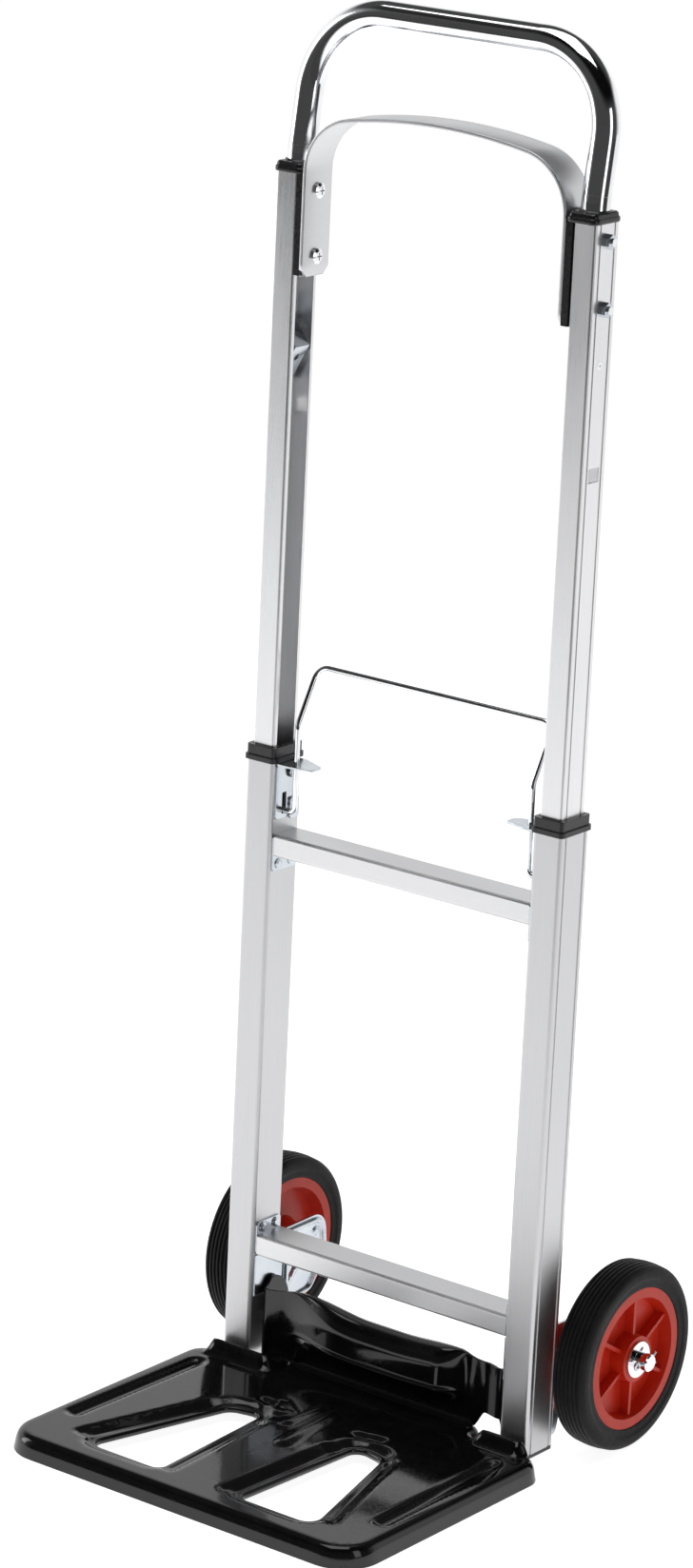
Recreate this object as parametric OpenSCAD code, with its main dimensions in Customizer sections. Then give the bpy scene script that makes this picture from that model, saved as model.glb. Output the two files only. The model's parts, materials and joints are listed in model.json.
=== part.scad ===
// Folding two-wheel hand truck with a sliding upper frame.
// X runs across the truck, Y backwards and Z up, in millimetres.
// The shapes are written with Y = 0 on the front faces of the lower rails and moved by
// origin_y at the end, so that the origin lies on the ground under the middle of the truck.

/* [Lower frame] */
// Width over the outer faces of the two lower rails
frame_w = 300; // [280:1:340]
// Width of a lower rail, across the truck
rail_w = 26; // [25:0.5:29]
// Depth of a lower rail, front to back
rail_d = 36; // [35:0.5:40]
// Wall of the lower rails
rail_wall = 1.6; // [1.3:0.1:2]
// Length of a lower rail
rail_l = 498; // [480:1:540]
// Height of the rails' lower ends above the ground
rail_lift = 10; // [8:0.5:14]
// Height of a crossbar
crossbar_h = 17.5; // [15:0.5:20]
// Depth of a crossbar, front to back
crossbar_d = 30; // [28:0.5:31]
// Wall of the crossbars
crossbar_wall = 1.6; // [1.2:0.1:2]
// Underside of the lower crossbar above the ground
crossbar_low_z = 101; // [100:1:112]
// From the rails' upper ends down to the upper crossbar's top face
crossbar_drop = 57.5; // [54:0.5:70]
// Height of the collars on the lower rails
collar_h = 12; // [10:0.5:18]

/* [Upper frame] */
// Room between a lower rail's inside and the upper rail, all round
slide_room = 1.4; // [1.3:0.1:1.8]
// Wall of the upper channels
channel_wall = 1.6; // [1.3:0.1:2]
// Length of an upper rail
channel_l = 526; // [510:1:560]
// Length of the upper rail that stays inside the lower one
insertion = 66; // [62:1:80]
// From the upper rails' ends up to the top of the handle
handle_rise = 134; // [120:1:170]
// Diameter of the handle tube
handle_d = 22; // [20:0.5:22.5]
// Wall of the handle tube
handle_wall = 1.2; // [1:0.1:1.8]
// Bend radius at the handle's corners, to the tube's middle
handle_bend_r = 64; // [50:1:75]
// Angle that the handle leans back
handle_lean = 8.3; // [2:0.1:12]
// Width of the bow strip, front to back
strip_w = 33; // [28:0.5:35]
// Thickness of the bow strip
strip_t = 3; // [2:0.1:4]
// From the upper rails' ends up to the top of the bow strip
strip_rise = 54; // [50:1:80]
// From the upper rails' ends down to the bow strip's lower ends
strip_drop = 78; // [74:1:90]
// Thickness of the pads between strip and rails
spacer_t = 6; // [4:0.5:8]

/* [Toe plate] */
// Width of the toe plate
plate_w = 344; // [336:1:375]
// From the rails' front faces to the front of the toe plate
plate_l = 249; // [235:1:280]
// Height of the load deck above the ground
deck_z = 16; // [14:0.5:18]
// Sheet thickness of the toe plate
sheet = 2.5; // [2:0.1:3]
// Radius of the toe plate's front corners
plate_corner_r = 30; // [25:1:50]
// Height of the back panel's top edge above the ground
panel_top_z = 77; // [75:0.5:80]
// Height of the fold pivot above the ground
pivot_z = 47; // [46:0.5:49]
// Diameter of the fold pivot's pins
pivot_d = 8; // [6:0.5:10]

/* [Wheels] */
// Wheel diameter
wheel_d = 150; // [140:1:155]
// Width of a tyre
wheel_w = 30; // [26:1:34]
// From a rail's outer face to the tyre
wheel_room = 7; // [6:0.5:10]
// From the rails' front faces back to the axle
axle_y = 91; // [88:1:96]
// Axle diameter
axle_d = 14; // [12:0.5:15]
// Diameter of the upright pins that the wheel arms turn on
hinge_d = 6; // [5:0.5:7]

/* [Release gear] */
// Wire diameter of the release bail
bail_d = 4.5; // [3.5:0.25:5]
// How far the bail lifts
bail_lift = 12; // [8:1:14]

/* [Hidden] */
$fn = 64;
LEFT = -1;
RIGHT = 1;
SIDES = [LEFT, RIGHT];
turn_gap = 0.05;      // radial gap of pins and shafts in their bores
slide_gap = 0.3;      // gap between pieces that slide past each other
touch = 0.02;         // gap of round pieces that are pressed together
lap = 0.5;            // overlap of shapes that are joined into one solid

rail_out = frame_w / 2;
rail_in = rail_out - rail_w;
rail_x = (rail_out + rail_in) / 2;
rail_y = rail_d / 2;
rail_top = rail_lift + rail_l;
rail_r = 3;
groove_w = 2;
groove_t = 0.5;

channel_w = rail_w - 2 * (rail_wall + slide_room);
channel_d = rail_d - 2 * (rail_wall + slide_room);
channel_in = rail_x - channel_w / 2;
channel_out = rail_x + channel_w / 2;
channel_y0 = rail_y - channel_d / 2;
channel_low = rail_top - insertion;
channel_top = channel_low + channel_l;
channel_lip = 4.5;
window_w = 13;
window_h = 11;
window_drop = 181;    // channel end down to the window's top edge

bracket_t = 1.5;
bar_y0 = rail_y - crossbar_d / 2;
bar_end = rail_in - bracket_t;
bar_high_z = rail_top - crossbar_drop - crossbar_h;
plug_l = 12;
rivet_d = 4;
rivet_head_d = 8;
rivet_inset = 7;

cap_h = 8;
cap_brim = 1.6;
strip_out = channel_in - spacer_t;
strip_in = strip_out - strip_t;
strip_y0 = rail_y - strip_w / 2;
strip_r = 46;
strip_low = channel_top - strip_drop;
strip_top = channel_top + strip_rise;
bolt_d = 6;
bolt_drops = [13, 63]; // bolts, from the channel's end down
stub_d = 14;
stub_l = 80;
handle_inset = 1.5;    // the handle's legs stand this far inside the rails' middle
handle_x = rail_x - handle_inset;
handle_foot_r = 60;
detent_top_drop = 98;
detent_l = 66;
detent_t = 1.2;
detent_hole_drop = 31;
detent_screw_d = 3;
sunk_head_d = 6;
sunk_head_h = 1.3;
detent_screw_drop = detent_top_drop + 7;

hook_drop = 39.5;
hook_z = rail_top - hook_drop;
bail_x = rail_in - 12;
bail_y = rail_y - 4;
bail_rise = 74;
bail_knee_rise = 28;
bail_top_z = rail_top + bail_rise;
bail_knee_z = rail_top + bail_knee_rise;
latch_y0 = rail_y - 14;
latch_w = 27;
latch_h = 46;
latch_face = rail_in - bracket_t;
tongue_in = rail_in - 32;
pawl_y = rail_y + 7;
pawl_travel = 3.6;
latch_screw_z = rail_top - 9;

hinge_x = rail_in + 4;
hinge_y = rail_d + 9;
hinge_ear_r = 6.5;
hinge_low = 24;
hinge_high = crossbar_low_z - 0.5;
arm_x = hinge_x + 11;
arm_t = 2.5;
arm_r = 27;
arm_foot = 8;
arm_step = 14;
arm_heel_r = 22;
arm_ear_gap = 0.4;
axle_z = wheel_d / 2;
tyre_in = rail_out + wheel_room;
tyre_out = tyre_in + wheel_w;
axle_end = tyre_out + 13;
washer_t = 1.5;
washer_r = axle_d / 2 + 7.5;
boss_in = arm_x + arm_t + washer_t + slide_gap;
boss_out = tyre_out;
bush_r = axle_d / 2 + 2.5;
rim_r = wheel_d / 2 - 18;

pivot_y = rail_y + 2;
cheek_out = hinge_x - hinge_ear_r - slide_gap;
cheek_in = cheek_out - sheet;
cheek_reach = 25;      // from the fold pivot back to the cheeks' ends
cheek_rise = 2;        // the cheeks' lobes above the back panel
cheek_low_z = deck_z - 1;
ear_bend_r = 5;
panel_y = 8;
bulge_x = 76;
bulge_d = 12;
bulge_lip_z = deck_z + 24; // the bulge starts here; below it the panel is flat
ear_foot_w = 24;       // the ears' part that stands on the deck
ear_low_z = deck_z + 13;
ear_top_z = panel_top_z - 6;
stop_d = 12;
stop_top = pivot_z - pivot_y - slide_gap;  // the stops meet the rails when the plate is folded up
plate_gap = 1.5;
plate_rear_r = 18;
deck_low = deck_z - sheet;
flange_w = 10;
flange_drop = 5;

origin_y = (plate_l - axle_y - wheel_d / 2) / 2;

ALUMINIUM = [0.80, 0.80, 0.81];
ZINC = [0.72, 0.75, 0.80];
CHROME = [0.85, 0.86, 0.88];
BLACK_PLASTIC = [0.06, 0.06, 0.065];
BLACK_PAINT = [0.03, 0.03, 0.03];
RUBBER = [0.10, 0.10, 0.11];
RED = [0.66, 0.09, 0.06];

// ---- helpers ----

// Puts a shape drawn for the right-hand side on either side of the truck.
module on_side(side) {
    if (side == RIGHT) children();
    else mirror([1, 0, 0]) children();
}

// Puts a shape drawn with +Z outwards on a face that looks towards the truck's middle.
module facing_in() rotate([0, -90, 0]) children();

// The same for a face that looks away from the middle.
module facing_out() rotate([0, 90, 0]) children();

// Sweeps a flat shape drawn in (Y, Z) along X, from x0 to x1.
module along_x(x0, x1) translate([x0, 0, 0]) rotate([90, 0, 90]) linear_extrude(x1 - x0) children();

// A box from one corner to the opposite one.
module span(low, high) translate(low) cube(high - low);

module round_rect(x0, x1, y0, y1, r) {
    translate([x0 + r, y0]) square([x1 - x0 - 2 * r, y1 - y0]);
    translate([x0, y0 + r]) square([x1 - x0, y1 - y0 - 2 * r]);
    for (x = [x0 + r, x1 - r], y = [y0 + r, y1 - r]) translate([x, y]) circle(r);
}

function unit(v) = v / norm(v);

// The points of an arc of radius r that rounds corner c between the points before and after it.
function corner_arc(before, c, after, r, steps) =
    let (a = unit(before - c), b = unit(after - c))
    let (half = acos(max(-1, min(1, a * b))) / 2)
    let (m = c + unit(a + b) * r / sin(half))
    let (s = c + a * r / tan(half) - m, e = c + b * r / tan(half) - m)
    let (a0 = atan2(s[1], s[0]), turn = atan2(e[1], e[0]) - a0)
    let (sweep = turn > 180 ? turn - 360 : turn < -180 ? turn + 360 : turn)
    [for (i = [0 : steps]) m + r * [cos(a0 + sweep * i / steps), sin(a0 + sweep * i / steps)]];

// A closed outline through corners [x, y, radius].
function rounded(corners, steps = 6) =
    let (n = len(corners), at = function (i) [corners[i % n][0], corners[i % n][1]])
    [for (i = [0 : n - 1]) each corners[i][2] == 0 ? [at(i)]
        : corner_arc(at(i + n - 1), at(i), at(i + 1), corners[i][2], steps)];

// Both legs of a round loop, at +x and -x.
module both_legs(x) {
    for (side = SIDES) on_side(side) translate([x, 0, 0]) children();
}

// A round loop: two upright legs, a bend that leans them back, and a bar with two corners.
module leaning_loop(x, upright, foot_r, lean, leg, corner_r) {
    both_legs(x) {
        linear_extrude(upright) children();
        translate([0, foot_r, upright]) rotate([90, 0, -90])
            rotate_extrude(angle = lean) translate([foot_r, 0]) children();
    }
    translate([0, foot_r, upright]) rotate([-lean, 0, 0]) translate([0, -foot_r, 0]) {
        both_legs(x) translate([0, 0, -1]) linear_extrude(2) scale(0.92) children();
        translate([0, 0, touch]) {
            both_legs(x) linear_extrude(leg) children();
            translate([0, 0, leg]) {
                both_legs(x) translate([-corner_r, 0, 0]) rotate([90, 0, 0])
                    rotate_extrude(angle = 90) translate([corner_r, 0]) children();
                translate([x - corner_r, 0, corner_r]) rotate([0, -90, 0])
                    linear_extrude(2 * (x - corner_r)) children();
            }
        }
    }
}

// A rivet with its head above Z = 0 and its shank below.
module rivet(grip) {
    cylinder(d = rivet_head_d, h = 0.8);
    translate([0, 0, 0.8]) cylinder(d1 = rivet_head_d, d2 = rivet_d, h = 0.8);
    translate([0, 0, -grip]) cylinder(d = rivet_d, h = grip + lap);
}

// A pan-head screw with a crossed recess, its head above Z = 0.
module pan_screw(d, grip) {
    head_h = d * 0.6;
    difference() {
        union() {
            cylinder(d = 2 * d, h = head_h * 0.6);
            translate([0, 0, head_h * 0.6]) cylinder(d1 = 2 * d, d2 = 1.3 * d, h = head_h * 0.4);
            translate([0, 0, -grip]) cylinder(d = d, h = grip + lap);
        }
        for (a = [0, 90])
            rotate([0, 0, a]) translate([-d / 2, -d / 12, head_h * 0.45]) cube([d, d / 6, head_h]);
    }
}

// ---- lower frame ----

module lower_rail_outline() {
    difference() {
        round_rect(rail_in, rail_out, 0, rail_d, rail_r);
        round_rect(rail_in + rail_wall, rail_out - rail_wall, rail_wall, rail_d - rail_wall, 1.5);
        for (y = [rail_d * 0.14, rail_d * 0.86 - groove_w])
            translate([rail_out - groove_t, y]) square([groove_t + 1, groove_w]);
    }
}

// Where rivets go through a crossbar's end fitting: front and back, at height z.
module at_bar_rivets(z) {
    for (y = [bar_y0 + rivet_inset, bar_y0 + crossbar_d - rivet_inset])
        translate([bar_end, y, z]) children();
}

bar_low_rivet_z = crossbar_low_z + crossbar_h + 5;
bar_high_rivet_z = bar_high_z - 7;
hinge_rivet_z = [hinge_low + 16, hinge_high - 12];
hinge_rivet_x = rail_out - 7;

module lower_rail(side) {
    color(ALUMINIUM) on_side(side) difference() {
        translate([0, 0, rail_lift]) linear_extrude(rail_l) lower_rail_outline();
        for (z = [bar_low_rivet_z, bar_high_rivet_z])
            at_bar_rivets(z) facing_out() cylinder(d = rivet_d + 2 * turn_gap, h = bracket_t + rail_wall + 1);
        for (z = hinge_rivet_z)
            translate([hinge_rivet_x, rail_d + 1, z])
                rotate([90, 0, 0]) cylinder(d = rivet_d + 2 * turn_gap, h = rail_wall + 2);
        translate([rail_in - 1, pivot_y, pivot_z]) facing_out()
            cylinder(d = pivot_d + 2 * turn_gap, h = rail_wall + 2);
        translate([rail_in - 1, latch_screw_y, latch_screw_z]) facing_out()
            cylinder(d = latch_screw_d + 2 * turn_gap, h = rail_wall + 2);
        hook_slot(rail_in - 1, rail_in + rail_wall + 1);
        pawl_window(rail_in - 1, rail_in + rail_wall + 1);
    }
}

module crossbar_outline(shrink) {
    round_rect(bar_y0 + shrink, bar_y0 + crossbar_d - shrink, shrink, crossbar_h - shrink, 2);
}

module crossbar(z) {
    color(ALUMINIUM) translate([0, 0, z]) along_x(-bar_end, bar_end) difference() {
        crossbar_outline(0);
        crossbar_outline(crossbar_wall);
    }
}

// End fitting: a flange on the rail and a plug inside the crossbar.
// The flange runs beyond the bar by below and above.
module crossbar_bracket(side, z, below, above, rivet_z) {
    color(ZINC) on_side(side) difference() {
        union() {
            along_x(bar_end, rail_in)
                round_rect(bar_y0, bar_y0 + crossbar_d, z - below, z + crossbar_h + above, 3);
            translate([0, 0, z]) along_x(bar_end - plug_l, bar_end + lap)
                crossbar_outline(crossbar_wall + touch);
        }
        at_bar_rivets(rivet_z) translate([-1, 0, 0]) facing_out()
            cylinder(d = rivet_d + 2 * turn_gap, h = bracket_t + 2);
    }
}

module crossbar_rivets() {
    color(ZINC) for (side = SIDES, z = [bar_low_rivet_z, bar_high_rivet_z])
        on_side(side) at_bar_rivets(z) facing_in() rivet(bracket_t + rail_wall);
}

module collar(side) {
    brim = 2;
    band = 0.6;
    brim_h = 4;
    skirt = 22;
    bore = slide_room - slide_gap;
    color(BLACK_PLASTIC) on_side(side) difference() {
        union() {
            translate([0, 0, rail_top]) linear_extrude(brim_h)
                round_rect(rail_in - brim, rail_out + brim, -brim, rail_d + brim, rail_r + 1);
            translate([0, 0, rail_top]) linear_extrude(collar_h)
                round_rect(rail_in - band, rail_out + band, -band, rail_d + band, rail_r);
            translate([0, 0, rail_top - skirt]) linear_extrude(skirt + lap)
                round_rect(rail_in + rail_wall + touch, rail_out - rail_wall - touch,
                           rail_wall + touch, rail_d - rail_wall - touch, 1.5);
        }
        translate([0, 0, rail_top - skirt - 1]) linear_extrude(skirt + collar_h + 2)
            round_rect(channel_in - slide_gap, channel_out + slide_gap,
                       channel_y0 - slide_gap, channel_y0 + channel_d + slide_gap, 1);
        hook_slot(rail_in + rail_wall - 1, channel_in + 1);
        pawl_window(rail_in + rail_wall - 1, channel_in + 1);
        translate([rail_in + rail_wall - 1, latch_screw_y, latch_screw_z]) facing_out()
            cylinder(d = latch_screw_d + 2, h = slide_room + 2);
    }
}

module foot(side) {
    flange = 3;
    plug = 18;
    color(BLACK_PLASTIC) on_side(side) {
        translate([0, 0, rail_lift - flange]) linear_extrude(flange)
            round_rect(rail_in, rail_out, 0, rail_d, rail_r);
        translate([0, 0, rail_lift - lap]) linear_extrude(plug + lap)
            round_rect(rail_in + rail_wall + touch, rail_out - rail_wall - touch,
                       rail_wall + touch, rail_d - rail_wall - touch, 1.5);
    }
}

// ---- release gear on the lower rails ----

latch_screw_d = 4;
latch_screw_y = rail_y + 3;
washer_face = latch_face - 1;

// Slot that the bail's hooked ends rise in.
module hook_slot(x0, x1) {
    half = bail_d / 2 + slide_gap;
    span([x0, bail_y - half, hook_z - half], [x1, bail_y + half, hook_z + bail_lift + half]);
}

// Window that the pawl's nose stands in.
module pawl_window(x0, x1) {
    half = pawl_nose / 2 + slide_gap;
    span([x0, pawl_y - half, hook_z - half], [x1, pawl_y + half, hook_z + half]);
}

pawl_nose = 8;

module latch_bracket(side) {
    tongue = rounded([
        [rail_in - lap, latch_y0, 0], [rail_in - lap, latch_y0 + latch_w, 0],
        [rail_in - 9, latch_y0 + latch_w, 4], [tongue_in, bail_y + 7, 5],
        [tongue_in, bail_y - 5, 5], [rail_in - 12, latch_y0, 4]
    ]);
    color(ZINC) on_side(side) difference() {
        union() {
            along_x(latch_face, rail_in)
                round_rect(latch_y0, latch_y0 + latch_w, rail_top - latch_h, rail_top - lap, 3);
            translate([0, 0, rail_top - lap - bracket_t]) linear_extrude(bracket_t) polygon(tongue);
        }
        translate([bail_x, bail_y, rail_top - 5]) cylinder(d = bail_d + 2 * slide_gap, h = 8);
        hook_slot(latch_face - 1, rail_in + 1);
        pawl_window(latch_face - 1, rail_in + 1);
        translate([latch_face - 1, latch_screw_y, latch_screw_z]) facing_out()
            cylinder(d = latch_screw_d + 2 * turn_gap, h = bracket_t + 2);
    }
}

module latch_screws() {
    color(ZINC) for (side = SIDES) on_side(side)
        translate([washer_face, latch_screw_y, latch_screw_z]) facing_in()
            pan_screw(latch_screw_d, rail_in + rail_wall - washer_face);
}

module latch_washers() {
    color(BLACK_PLASTIC) for (side = SIDES) on_side(side)
        translate([latch_face, latch_screw_y, latch_screw_z]) facing_in() difference() {
            cylinder(d = 10, h = latch_face - washer_face);
            translate([0, 0, -1]) cylinder(d = latch_screw_d + 2 * turn_gap, h = 4);
        }
}

module latch_pawl(side) {
    half = pawl_nose / 2;
    plate_out = latch_face - slide_gap;
    color(ZINC) on_side(side) {
        along_x(plate_out - bracket_t, plate_out)
            round_rect(pawl_y - half - 1, pawl_y + half + 2, hook_z - half - 4, hook_z + half + 5, 2);
        span([plate_out - lap, pawl_y - half, hook_z - half],
             [channel_in - slide_gap, pawl_y + half, hook_z + half]);
    }
}

bail_lean = 28;
bail_foot_r = 12;
bail_corner_r = 10;
bail_hook_r = 5;
bail_upright = bail_knee_z - hook_z - bail_hook_r;
bail_leg = (bail_top_z - bail_knee_z - bail_foot_r * sin(bail_lean)) / cos(bail_lean) - bail_corner_r;

module release_bail() {
    hook_l = channel_in - 2 * slide_gap - bail_x - bail_hook_r;
    color(CHROME) translate([0, bail_y, hook_z]) {
        translate([0, 0, bail_hook_r])
            leaning_loop(bail_x, bail_upright, bail_foot_r, bail_lean, bail_leg, bail_corner_r)
                circle(d = bail_d);
        both_legs(bail_x + bail_hook_r) {
            translate([0, 0, bail_hook_r]) rotate([-90, 0, 180])
                rotate_extrude(angle = 90) translate([bail_hook_r, 0]) circle(d = bail_d);
            facing_out() linear_extrude(hook_l) circle(d = bail_d);
        }
    }
}

// ---- upper frame ----

module channel_outline() {
    difference() {
        round_rect(channel_in, channel_out, channel_y0, channel_y0 + channel_d, 2);
        round_rect(channel_in + channel_wall, channel_out - channel_wall,
                   channel_y0 + channel_wall, channel_y0 + channel_d - channel_wall, 1);
        translate([channel_in - 1, channel_y0 + channel_lip])
            square([channel_wall + 2, channel_d - 2 * channel_lip]);
        for (y = [channel_y0 + 5, channel_y0 + channel_d - 5 - groove_w])
            translate([channel_out - groove_t, y]) square([groove_t + 1, groove_w]);
    }
}

module upper_rail(side) {
    color(ALUMINIUM) on_side(side) difference() {
        translate([0, 0, channel_low]) linear_extrude(channel_l) channel_outline();
        for (drop = bolt_drops)
            translate([channel_in - 1, rail_y, channel_top - drop]) facing_out()
                cylinder(d = bolt_d + 2 * turn_gap, h = channel_w + 2);
        translate([channel_in - 1, rail_y, channel_top - detent_screw_drop]) facing_out()
            cylinder(d = detent_screw_d + 2 * turn_gap, h = channel_w + 2);
        translate([channel_out - sunk_head_h, rail_y, channel_top - detent_screw_drop]) facing_out()
            cylinder(d1 = detent_screw_d + 2 * turn_gap, d2 = sunk_head_d + 2 * turn_gap, h = sunk_head_h);
        span([channel_out - channel_wall - 1, rail_y - window_w / 2, channel_top - window_drop - window_h],
             [channel_out + 1, rail_y + window_w / 2, channel_top - window_drop]);
    }
}

cap_out = max(channel_out + cap_brim, handle_x + handle_d / 2 + 2);

module cap(side) {
    color(BLACK_PLASTIC) on_side(side) difference() {
        translate([0, 0, channel_top]) {
            linear_extrude(cap_h - 1.5)
                round_rect(strip_out + touch, cap_out,
                           channel_y0 - 2 * cap_brim, channel_y0 + channel_d + cap_brim, 6);
            linear_extrude(cap_h)
                round_rect(strip_out + 1.2, cap_out - 1.2,
                           channel_y0 - cap_brim, channel_y0 + channel_d + 0.4, 5);
        }
        translate([handle_x, rail_y, channel_top - 1])
            cylinder(d = handle_d + 2 * turn_gap, h = cap_h + 2);
    }
}

foot_rise = handle_foot_r * sin(handle_lean);
foot_l = cap_h + 2;
leg_l = (handle_rise - foot_l - foot_rise - handle_d / 2) / cos(handle_lean) - handle_bend_r;

module handle_path(d) {
    leaning_loop(handle_x, foot_l, handle_foot_r, handle_lean, leg_l, handle_bend_r) circle(d = d);
}

// The bent tube, with a narrower stub at each end that stands in the channel.
module handle_tube() {
    color(CHROME) difference() {
        translate([0, rail_y, channel_top]) {
            difference() {
                handle_path(handle_d);
                handle_path(handle_d - 2 * handle_wall);
            }
            both_legs(handle_x) {
                translate([0, 0, -stub_l]) cylinder(d = stub_d, h = stub_l + 2);
                cylinder(d = handle_d - handle_wall, h = 2);
            }
        }
        for (side = SIDES, drop = bolt_drops) on_side(side)
            translate([handle_x - handle_d, rail_y, channel_top - drop]) facing_out()
                cylinder(d = bolt_d + 2 * turn_gap, h = 2 * handle_d);
    }
}

// The bow's upper part: a corner arc and a flatter crown that meets it.
crown_slope = 10;
crown_x = strip_out - strip_r + strip_r * sin(crown_slope);
crown_r = crown_x / sin(crown_slope);
bow_corner_z = strip_top - crown_r * (1 - cos(crown_slope)) - strip_r * cos(crown_slope);

function bow_points(inset, steps = 10) = concat(
    [for (i = [0 : steps]) let (a = i / steps * (90 - crown_slope))
        [strip_out - strip_r + (strip_r - inset) * cos(a), bow_corner_z + (strip_r - inset) * sin(a)]],
    [for (i = [1 : steps]) let (a = crown_slope * (1 - 2 * i / steps))
        [(crown_r - inset) * sin(a), strip_top - crown_r + (crown_r - inset) * cos(a)]],
    [for (i = [1 : steps]) let (a = 90 + crown_slope + i / steps * (90 - crown_slope))
        [strip_r - strip_out + (strip_r - inset) * cos(a), bow_corner_z + (strip_r - inset) * sin(a)]]
);

module bow_strip() {
    outer = bow_points(0);
    inner = bow_points(strip_t);
    chamfer = 6;
    ring = concat([[strip_out, strip_low]], outer, [[-strip_out, strip_low], [-strip_in, strip_low]],
                  [for (i = [len(inner) - 1 : -1 : 0]) inner[i]], [[strip_in, strip_low]]);
    color(ALUMINIUM) difference() {
        translate([0, strip_y0 + strip_w, 0]) rotate([90, 0, 0]) linear_extrude(strip_w) polygon(ring);
        for (side = SIDES) on_side(side) {
            for (drop = bolt_drops)
                translate([strip_in - 1, rail_y, channel_top - drop]) facing_out()
                    cylinder(d = bolt_d + 2 * turn_gap, h = strip_t + 2);
            for (y = [strip_y0, strip_y0 + strip_w])
                translate([strip_in - 1, y, strip_low]) rotate([45, 0, 0])
                    translate([0, -chamfer / sqrt(2), -chamfer / sqrt(2)])
                        cube([strip_t + 2, chamfer * sqrt(2), chamfer * sqrt(2)]);
        }
    }
}

module spacer(side) {
    color(BLACK_PLASTIC) on_side(side) difference() {
        span([strip_out, channel_y0 - 1, strip_low + 1],
             [channel_in, channel_y0 + channel_d + 1, channel_top]);
        for (drop = bolt_drops)
            translate([strip_out - 1, rail_y, channel_top - drop]) facing_out()
                cylinder(d = bolt_d + 2 * turn_gap, h = spacer_t + 2);
    }
}

nut_t = 5;

module strip_bolts() {
    color(CHROME) for (side = SIDES, drop = bolt_drops) on_side(side)
        translate([strip_in, rail_y, channel_top - drop]) facing_in()
            pan_screw(bolt_d, channel_out + nut_t + 2 - strip_in);
}

module strip_nuts() {
    color(ZINC) for (side = SIDES, drop = bolt_drops) on_side(side)
        translate([channel_out, rail_y, channel_top - drop]) facing_out() difference() {
            cylinder(d = bolt_d * 1.9, h = nut_t, $fn = 6);
            translate([0, 0, -1]) cylinder(d = bolt_d + 2 * turn_gap, h = nut_t + 2);
        }
}

// A sprung strip in the channel: flat where it is screwed on, then bent out to a peak and back.
module detent_spring(side) {
    web = channel_out - channel_wall;
    peak = channel_in + 1;
    top = channel_top - detent_top_drop;
    knee = top - 14;
    tip = top - detent_l;
    wide = 17;
    bent = [
        [web, top], [web, knee], [peak, knee - 22], [web - 1, tip],
        [web - 1 - detent_t, tip], [peak - detent_t, knee - 22],
        [web - detent_t, knee + 0.5], [web - detent_t, top]
    ];
    color(ZINC) on_side(side) difference() {
        translate([0, rail_y + wide / 2, 0]) rotate([90, 0, 0]) linear_extrude(wide) polygon(bent);
        translate([channel_in - 5, rail_y, channel_top - detent_screw_drop]) facing_out()
            cylinder(d = detent_screw_d + 2 * turn_gap, h = channel_w + 10);
        translate([channel_in - 5, rail_y, knee - detent_hole_drop]) facing_out() cylinder(d = 5, h = channel_w + 10);
    }
}

// Countersunk screws: their heads lie level with the channels' outer faces.
module detent_screws() {
    grip = channel_wall + detent_t;
    color(CHROME) for (side = SIDES) on_side(side)
        translate([channel_out, rail_y, channel_top - detent_screw_drop]) facing_out() difference() {
            union() {
                translate([0, 0, -sunk_head_h])
                    cylinder(d1 = detent_screw_d, d2 = sunk_head_d, h = sunk_head_h);
                translate([0, 0, -grip]) cylinder(d = detent_screw_d, h = grip - lap);
            }
            for (a = [0, 90]) rotate([0, 0, a])
                translate([-detent_screw_d / 2, -detent_screw_d / 10, -0.6])
                    cube([detent_screw_d, detent_screw_d / 5, 2]);
        }
}

module glide(side) {
    base = 3;
    plug = 24;
    room = slide_room - slide_gap;
    color(BLACK_PLASTIC) on_side(side) {
        translate([0, 0, channel_low - base]) linear_extrude(base)
            round_rect(channel_in - room, channel_out + room,
                       channel_y0 - room, channel_y0 + channel_d + room, 1.5);
        translate([0, 0, channel_low - lap]) linear_extrude(plug + lap)
            round_rect(channel_in + channel_wall + touch, channel_out - channel_wall - touch,
                       channel_y0 + channel_wall + touch, channel_y0 + channel_d - channel_wall - touch, 1);
    }
}

// ---- toe plate ----

module pivot_pin(side) {
    head_t = 2.2;
    color(ZINC) on_side(side) translate([cheek_in - slide_gap, pivot_y, pivot_z]) facing_in() {
        cylinder(d = pivot_d + 5, h = head_t);
        translate([0, 0, -(rail_in + 6 - cheek_in)]) cylinder(d = pivot_d, h = rail_in + 6 - cheek_in + lap);
    }
}

// The deck's outline is drawn from four corner circles.
roll = 9;
front_mid = [plate_w / 2 - plate_corner_r, plate_corner_r - plate_l];
rear_mid = [plate_w / 2 - plate_rear_r, -plate_gap - plate_rear_r];

// The deck's rolled edge as (distance from a corner's middle, Z), for an outer radius r.
module edge_section(r) {
    polygon([
        [r, 0], [r, deck_z - 7], [r - 1.5, deck_z - 4], [r - 4.5, deck_z - 1.2], [r - roll, deck_z],
        [r - roll - lap, deck_z], [r - roll - lap, deck_low], [r - roll, deck_low],
        [r - 5.5, deck_low - 1], [r - 3.4, deck_low - 2.8], [r - sheet, deck_low - 5], [r - sheet, 0]
    ]);
}

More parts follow.
